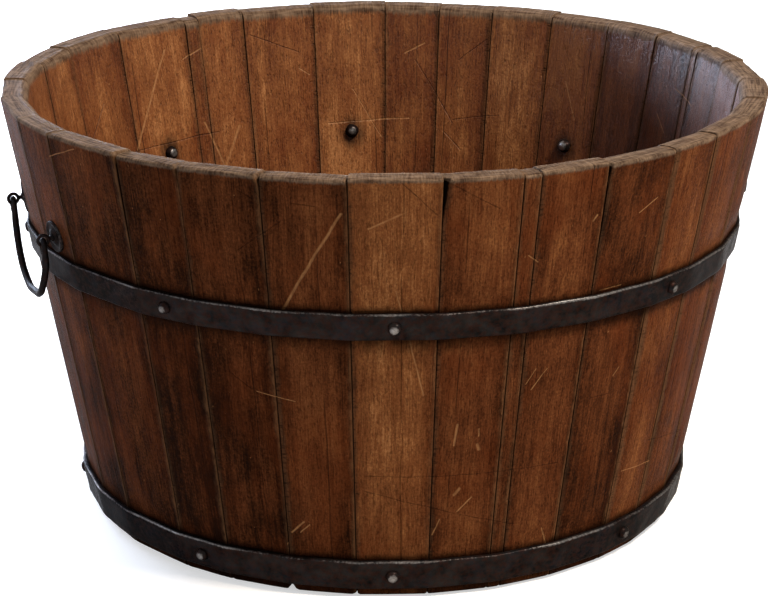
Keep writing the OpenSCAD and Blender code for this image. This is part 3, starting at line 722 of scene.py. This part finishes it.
def dome(diameter, rise, level, sign, flat=0.35):
    """Radii and heights of a hammered head, from its foot to its top"""
    steps = np.linspace(0, 1, 9)[:-1]
    foot = [(diameter / 2 * 0.96, level), (diameter / 2, level + sign * 0.45)]
    rest = [(diameter / 2 * math.cos(s * math.pi / 2 * 0.95) ** 0.8, level + sign * (
        0.45 + (rise - 0.45) * math.sin(s * math.pi / 2) ** (1 + flat / 2))) for s in steps[1:]]
    return foot + rest + [(0.25, level + sign * rise)]


LAPS = {"mid": 30, "low": 26}
MID_THICK, LOW_THICK = 3.5, 4.4  # of the forged straps


def rivet(stave, side, level, out, through):
    place = frame_on_stave(stave - 1, side, level / math.cos(math.atan(SLOPE * math.cos(half_angles[stave - 1]))))
    head = dome(10, 4.2, out, 1)
    tail = dome(12, 5.2, -THICK, -1) if through else [(0.2, 0.1)]
    shank = [(2.5, -THICK), (2.5, out)] if through else [(2.5, 0.1), (2.5, out)]
    return turned(place, tail[::-1] + shank + head, 26, 0.10, 3.7 * stave + level)


def add_rivets(name, rows, through):
    parts = [rivet(stave, side, level, out, through) for stave, side, level, out in rows]
    marks = []
    for (points, _), (stave, side, level, out) in zip(parts, rows):
        origin, axis, *_ = frame_on_stave(stave - 1, side, level)
        rise = (points - origin) @ axis
        # The tops of both domes are marked as worn: rubbed iron, and a painted highlight
        marks.append(np.clip(np.maximum((rise - out) / 4.2, (-THICK - rise) / 5.2 * 0.94), 0, 1) ** 2 * 1.25)
    piece(name + "_forged", parts, iron, "rivet_iron", "tub", [name], worn=np.concatenate(marks))


MID_Z, LOW_Z = MID_HOOP[0] + MID_HOOP[1] / 2, LOW_HOOP[0] + LOW_HOOP[1] / 2
add_rivets("mid_hoop_rivets", [(s, 0, MID_Z, MID_THICK - 0.1) for s in RIVETED], True)
add_rivets("low_hoop_rivets", [(s, 0, LOW_Z, LOW_THICK - 0.1) for s in RIVETED], True)
add_rivets("lap_rivets", [(LAPS[k], side, z, thick + 3.1) for k, z, thick in (
    ("mid", MID_Z, MID_THICK), ("low", LOW_Z, LOW_THICK)) for side in (-11, 11)], False)

pegs = []
for cut in board_cuts[1:-1]:
    for x in (-110, 110):
        place = (np.array([x, cut, BOTTOM_Z]), np.array([0, 1.0, 0]), np.array([1.0, 0, 0]), np.array([0, 0, 1.0]))
        pegs.append(turned(place, [(3.6, -25), (5, -23.4), (5, 0), (5, 23.4), (3.6, 25)], 20, 0.03, x + cut))
points = np.vstack([p for p, _ in pegs])
piece("bottom_dowels_pegs", pegs, oak, "dowel_wood", "tub", ["bottom_dowels"],
      grain=np.column_stack([points[:, 0], points[:, 2], points[:, 1]]) * MM + 31, edge=np.full(len(points), 40.0),
      unrolled=points * MM + 5, rim=np.full(len(points), 90.0), tone=np.full(len(points), 0.95),
      split=np.full(len(points), -5.0), stain=np.zeros(len(points)))
print("rivets", 2 * len(RIVETED), "and", 4, "in the laps,", len(pegs), "dowels")

# %% [markdown]
# ## Hoops
# Each hoop is a strap of forged iron, driven down over the tapering wall until it is tight, so it lies flat on
# each stave and bends a little over each joint. Its ends overlap and are riveted. A real strap shows the hammer:
# its faces are not flat, its edges waver and are rounded. The section below runs once round the tub, and the lap
# is a second, short strap on top, thinned to a scarf at one end.


# %% Hoops
def strap_section(width, thick, columns=9):
    """Points round a strap, as height, distance out, and wear from 0 to 1, highest on the upper outer corner,
    where it also makes a painted highlight
    """
    arcs = np.linspace(0, math.pi / 2, 4)
    soft = 1.1
    points = [(-width / 2 + 0.4, 0, 0), (width / 2 - 0.4, 0, 0), (width / 2, 0.5, 0.35)]
    points += [(width / 2 - soft + soft * math.cos(a), thick - soft + soft * math.sin(a), 0.95 + 0.05 * math.sin(2 * a))
               for a in arcs]
    face = width / 2 - soft
    for v in np.linspace(face, -face, columns)[1:-1]:
        points.append((v, thick, max(0.0, 0.9 - (width / 2 - v) / 1.9, 0.45 - (v + width / 2) / 3)))
    points += [(-width / 2 + soft - soft * math.sin(a), thick - soft + soft * math.cos(a), 0.42) for a in arcs]
    return points + [(-width / 2, 0.5, 0.2)]


def wall_radius(angle, height):
    """Radius of the ring of flat faces at a bearing, smoothed where the strap bends over a joint"""
    total = 0.0
    for off in (-1.1, -0.55, 0, 0.55, 1.1):
        at = (angle + math.radians(off)) % (2 * math.pi)
        gap = (at - bearings + math.pi) % (2 * math.pi) - math.pi
        index = int(np.argmin(np.abs(gap) - half_angles))
        total += face_radius(index, height) / math.cos(gap[index])
    return total / 5


def strap(low, width, angles, lift, thick_at, seed, closed):
    lean = math.atan(SLOPE)
    rings, worn_marks = [], []
    for angle in angles:
        ring = []
        arc = angle * 270
        for v, d, wear in strap_section(width, MID_THICK):
            share = d / MID_THICK
            rough = share * (0.34 * ripple(arc / 13, v / 9, seed) + 0.16 * ripple(arc / 5, v / 5, seed + 4) - 0.1)
            edge_wave = 0.35 * ripple(arc / 38, seed + (9 if v > 0 else 2)) * abs(v) * 2 / width
            z = low + width / 2 + v + edge_wave
            r = wall_radius(angle, z) + (lift(angle) + share * thick_at(angle) + rough + 0.1) / math.cos(lean)
            ring.append((r * math.cos(angle), r * math.sin(angle), z))
            worn_marks.append(wear)
        rings.append(ring)
    return skin(rings, loop=closed), worn_marks


def add_hoop(name, low, width, thick, lap_stave, seed):
    round_angles = np.linspace(0, 2 * math.pi, 440, endpoint=False)
    ring, ring_worn = strap(low, width, round_angles, lambda a: 0.0, lambda a: thick, seed, True)
    middle = bearings[lap_stave - 1]
    radius = face_radius(lap_stave - 1, low + width / 2)
    span = np.arctan2(np.concatenate([[-22, -21.6], np.linspace(-20.5, 15, 11), [16, 18, 20, 22]]), radius)
    over, over_worn = strap(low, width, middle + span, lambda a: thick - 0.2,
                            lambda a: float(np.interp(radius * math.tan(a - middle), [-22, -21.6, 16, 22], [2.6, 3.1, 3.1, 0.5])),
                            seed + 20, False)
    piece(name + "_strap", [ring, over], iron, "hoop_iron", "tub", [name], worn=ring_worn + over_worn)


add_hoop("mid_hoop", *MID_HOOP, MID_THICK, LAPS["mid"], 3.0)
add_hoop("low_hoop", *LOW_HOOP, LOW_THICK, LAPS["low"], 8.0)
print("hoops at", MID_HOOP[0], "and", LOW_HOOP[0], "mm")

# %% [markdown]
# ## Handles
# Each handle is a drop bail: a round bar bent to a loose U, with its ends turned to hooks through two eyes. The
# eyes stand on small turned plates and are driven into the staves. A bar like this could be a curve with a
# bevel, but the bar gets thinner towards its ends, so it is skinned along its path, ring by ring.

# %% Eyes and rosettes
SPAN, EYE_Z, EYE_X = 120.0, 248.0, 287.157
EYES = {"left_front": (-1, -1, 2), "left_rear": (-1, 1, 33), "right_front": (1, -1, 16), "right_rear": (1, 1, 19)}
ROSETTE = [(0.3, 0.02), (12.1, 0.02), (12.5, 0.4), (12.5, 2.0), (12.3, 2.45), (11.8, 2.7), (10.9, 2.5), (9.4, 1.9),
           (7.4, 1.95), (6.0, 2.6), (5.2, 3.3), (4.6, 3.6), (0.3, 3.62)]


def stave_under(x, y):
    angle = math.atan2(y, x) % (2 * math.pi)
    gap = (angle - bearings + math.pi) % (2 * math.pi) - math.pi
    return int(np.argmin(np.abs(gap) - half_angles))


for name, (east, north, _) in EYES.items():
    centre = np.array([east * EYE_X, north * SPAN / 2, EYE_Z])
    index = stave_under(centre[0], centre[1])
    origin, out, along, up = frame_on_stave(index, 0, 0)
    off = centre - origin
    place = (origin + along * (off @ along) + up * (off @ up), out, along, up)
    reach = off @ out
    points, faces = turned(place, ROSETTE, 40, 0.035, east + 3 * north)
    # The boss and most of all the rim of each plate are marked as worn: rubbed iron, and on the rim a painted highlight
    wear = np.interp(np.linalg.norm(np.cross(points - place[0], out), axis=1), [0, 5, 8, 11.4, 12.2], [0, 0.5, 0.1, 0.35, 0.85])
    piece(f"{name}_rosette_plate", [(points, faces)], iron, "handle_iron", "tub", [f"{name}_rosette"], worn=wear)
    neck = turned(place, [(0.2, -15), (1.9, -11), (2.0, 3.6), (3.1, 3.6), (3.25, 4.0), (2.9, 4.5), (1.9, 4.8), (1.6, 5.4),
                          (1.6, reach - 5.6), (2.1, reach - 4.4), (1.2, reach - 3.5)], 20, 0.05, east - north)
    ring = []
    for a in np.linspace(0, 2 * math.pi, 44, endpoint=False):
        way = np.array([math.cos(a), 0, math.sin(a)])
        bar = 1.3 * (1 + 0.05 * ripple(2 * math.cos(a), 2 * math.sin(a), east + 5 * north))
        ring.append([centre + way * (3.9 + bar * math.cos(b)) + np.array([0, 1, 0]) * bar * math.sin(b)
                     for b in np.linspace(0, 2 * math.pi, 16, endpoint=False)])
    ring = skin(ring, loop=True)
    far_out = (np.vstack([neck[0], ring[0]]) - place[0]) @ out
    piece(f"{name}_eye_forging", [neck, ring], iron, "handle_iron", "tub", [f"{name}_eye"],
          worn=np.clip((far_out - reach + 2) / 8, 0, 0.55))


# %% Bails
LOOSE_U = [(-55.6, -5.4), (-55.6, -9), (-54.9, -14), (-52.8, -20.6), (-43.6, -36), (-30.6, -46.6), (-9, -53.4),
           (2.7, -54.3), (24.5, -51.4), (34, -50.2), (46, -43.6), (57.5, -31.5), (66.0, -19.5), (67.4, -13.5), (65.8, -9), (64.4, -5.4)]


def bail_path():
    """Points of the bar's middle, in the plane of the bail, with the bar's thickness"""
    def arc(u, v, radius, start, end, thick, count):
        return [(u + radius * math.cos(math.radians(a)), v + radius * math.sin(math.radians(a)), thick)
                for a in np.linspace(start, end, count)]

    def straight(u, v0, v1, thick0, thick1, count):
        return [(u, v, thick0 + (thick1 - thick0) * k) for k, v in zip(np.linspace(0, 1, count), np.linspace(v0, v1, count))]

    bend, half = 4.4, SPAN / 2
    path = [(-half - bend, -12.62, 0.5), (-half - bend, -12.45, 1.5), (-half - bend, -12.0, 2.2)]
    path += straight(-half - bend, -11.4, -5.4, 2.6, 4.2, 7)
    path += arc(-half, -bend, bend, 180, 0, 4.2, 15)
    corners = np.array(LOOSE_U, float)
    run = np.concatenate([[0], np.cumsum(np.hypot(*np.diff(corners, axis=0).T))])
    steps = np.linspace(0, run[-1], 130)
    bent = np.column_stack([np.interp(steps, run, corners[:, k]) for k in (0, 1)])
    for _ in range(3):
        bent[2:-2] = sum(bent[2 + k:len(bent) - 2 + k] for k in (-2, -1, 0, 1, 2)) / 5
    path += [(u, v, float(np.interp(k, [0, 8, 121, 129], [4.5, 5.5, 5.5, 4.5]))) for k, (u, v) in enumerate(bent)][1:-1:2]
    path += arc(half, -bend, bend, 0, 180, 4.2, 15)
    path += straight(half - bend, -5.4, -11.4, 4.2, 2.6, 7)
    return path + [(half - bend, -12.0, 2.2), (half - bend, -12.45, 1.5), (half - bend, -12.62, 0.5)]


def bail_bar(sign, seed):
    path = np.array(bail_path())
    ways = np.gradient(path[:, :2], axis=0)
    ways /= np.linalg.norm(ways, axis=1)[:, None]
    rings, wear = [], []
    length = 0.0
    for k, ((u, v, thick), (du, dv)) in enumerate(zip(path, ways)):
        length += float(np.hypot(*(path[k, :2] - path[k - 1, :2]))) if k else 0.0
        free = ease((-8 - v) / 6) if abs(abs(u - 4.4) - 60) < 8 else 1.0
        shift = 0.3 * free * ripple(length / 24, seed)
        ring = []
        for b in np.linspace(0, 2 * math.pi, 18, endpoint=False):
            r = thick / 2 * (1 + free * (0.05 * ripple(length / 9, 1.2 * math.cos(b), 1.2 * math.sin(b) + seed)))
            across = r * math.cos(b) + shift
            ring.append((sign * (EYE_X + r * math.sin(b) + 0.2 * free * ripple(length / 31, seed + 7)),
                         sign * (u + across * -dv), EYE_Z + v + across * du))
            wear.append(0.3 + 0.25 * (1 - free))
        rings.append(ring)
    return skin(rings), wear


for body, sign, seed in (("right_bail", 1, 2.0), ("left_bail", -1, 6.0)):
    bar, wear = bail_bar(sign, seed)
    piece(f"{body}_bar", [bar], iron, "handle_iron", body, [body], worn=wear)
print("bails of", len(bail_path()), "rings")
